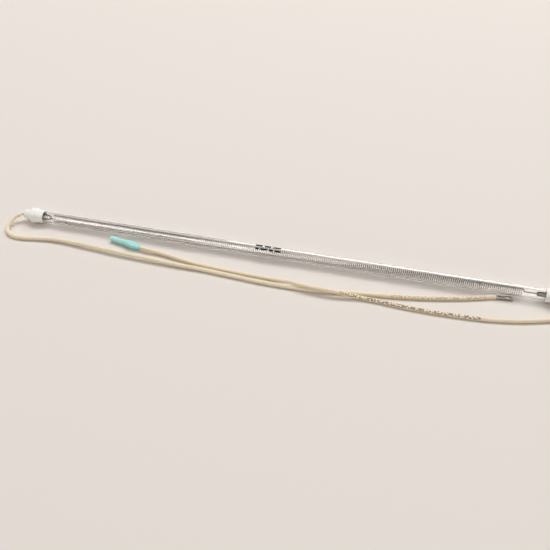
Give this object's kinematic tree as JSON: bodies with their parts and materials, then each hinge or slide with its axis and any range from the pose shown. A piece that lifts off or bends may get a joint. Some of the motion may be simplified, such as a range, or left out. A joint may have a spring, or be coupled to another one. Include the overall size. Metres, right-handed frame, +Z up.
{
  "type": "quartz tube heater",
  "caption": "Clear quartz tube with a wound resistance coil inside, a flanged soft cap at each end, and two braided leads that end in a bare bullet terminal and a sleeved socket connector.",
  "frame": {"origin": "on the surface that the tube lies on, below the middle of the tube", "axes": "+X along the tube towards the cap of the lead with the sleeved connector, -Y towards the leads, +Z up"},
  "size_m": [0.5395, 0.0461, 0.0144],
  "materials": {
    "quartz_glass": "clear fused quartz, fire-polished ends",
    "coil_wire": "grey drawn resistance wire, satin",
    "plated_metal": "tin-plated sheet, slightly dull",
    "bare_wire": "stranded plated copper",
    "white_rubber": "soft white moulded rubber, satin",
    "dark_rubber": "matte dark rubber",
    "pale_rubber": "pale soft wire insulation",
    "glass_braid": "varnished cream glass-fibre braid",
    "turquoise_plastic": "soft moulded turquoise plastic"
  },
  "bodies": {
    "root": {"glass_tube": "quartz_glass", "heating_coil": "coil_wire", "left_crimp": "plated_metal", "right_crimp": "plated_metal", "left_stopper": "dark_rubber", "right_stopper": "dark_rubber", "left_end_cap": "white_rubber", "right_end_cap": "white_rubber", "left_conductor": "bare_wire", "right_conductor": "bare_wire", "left_wire_insulation": "pale_rubber", "right_wire_insulation": "pale_rubber", "left_lead": "glass_braid", "right_lead": "glass_braid", "left_lead_strands": "bare_wire", "right_lead_strands": "bare_wire", "lead_terminal": "plated_metal", "connector_socket": "plated_metal", "connector_sleeve": "turquoise_plastic"}
  },
  "joints": []
}
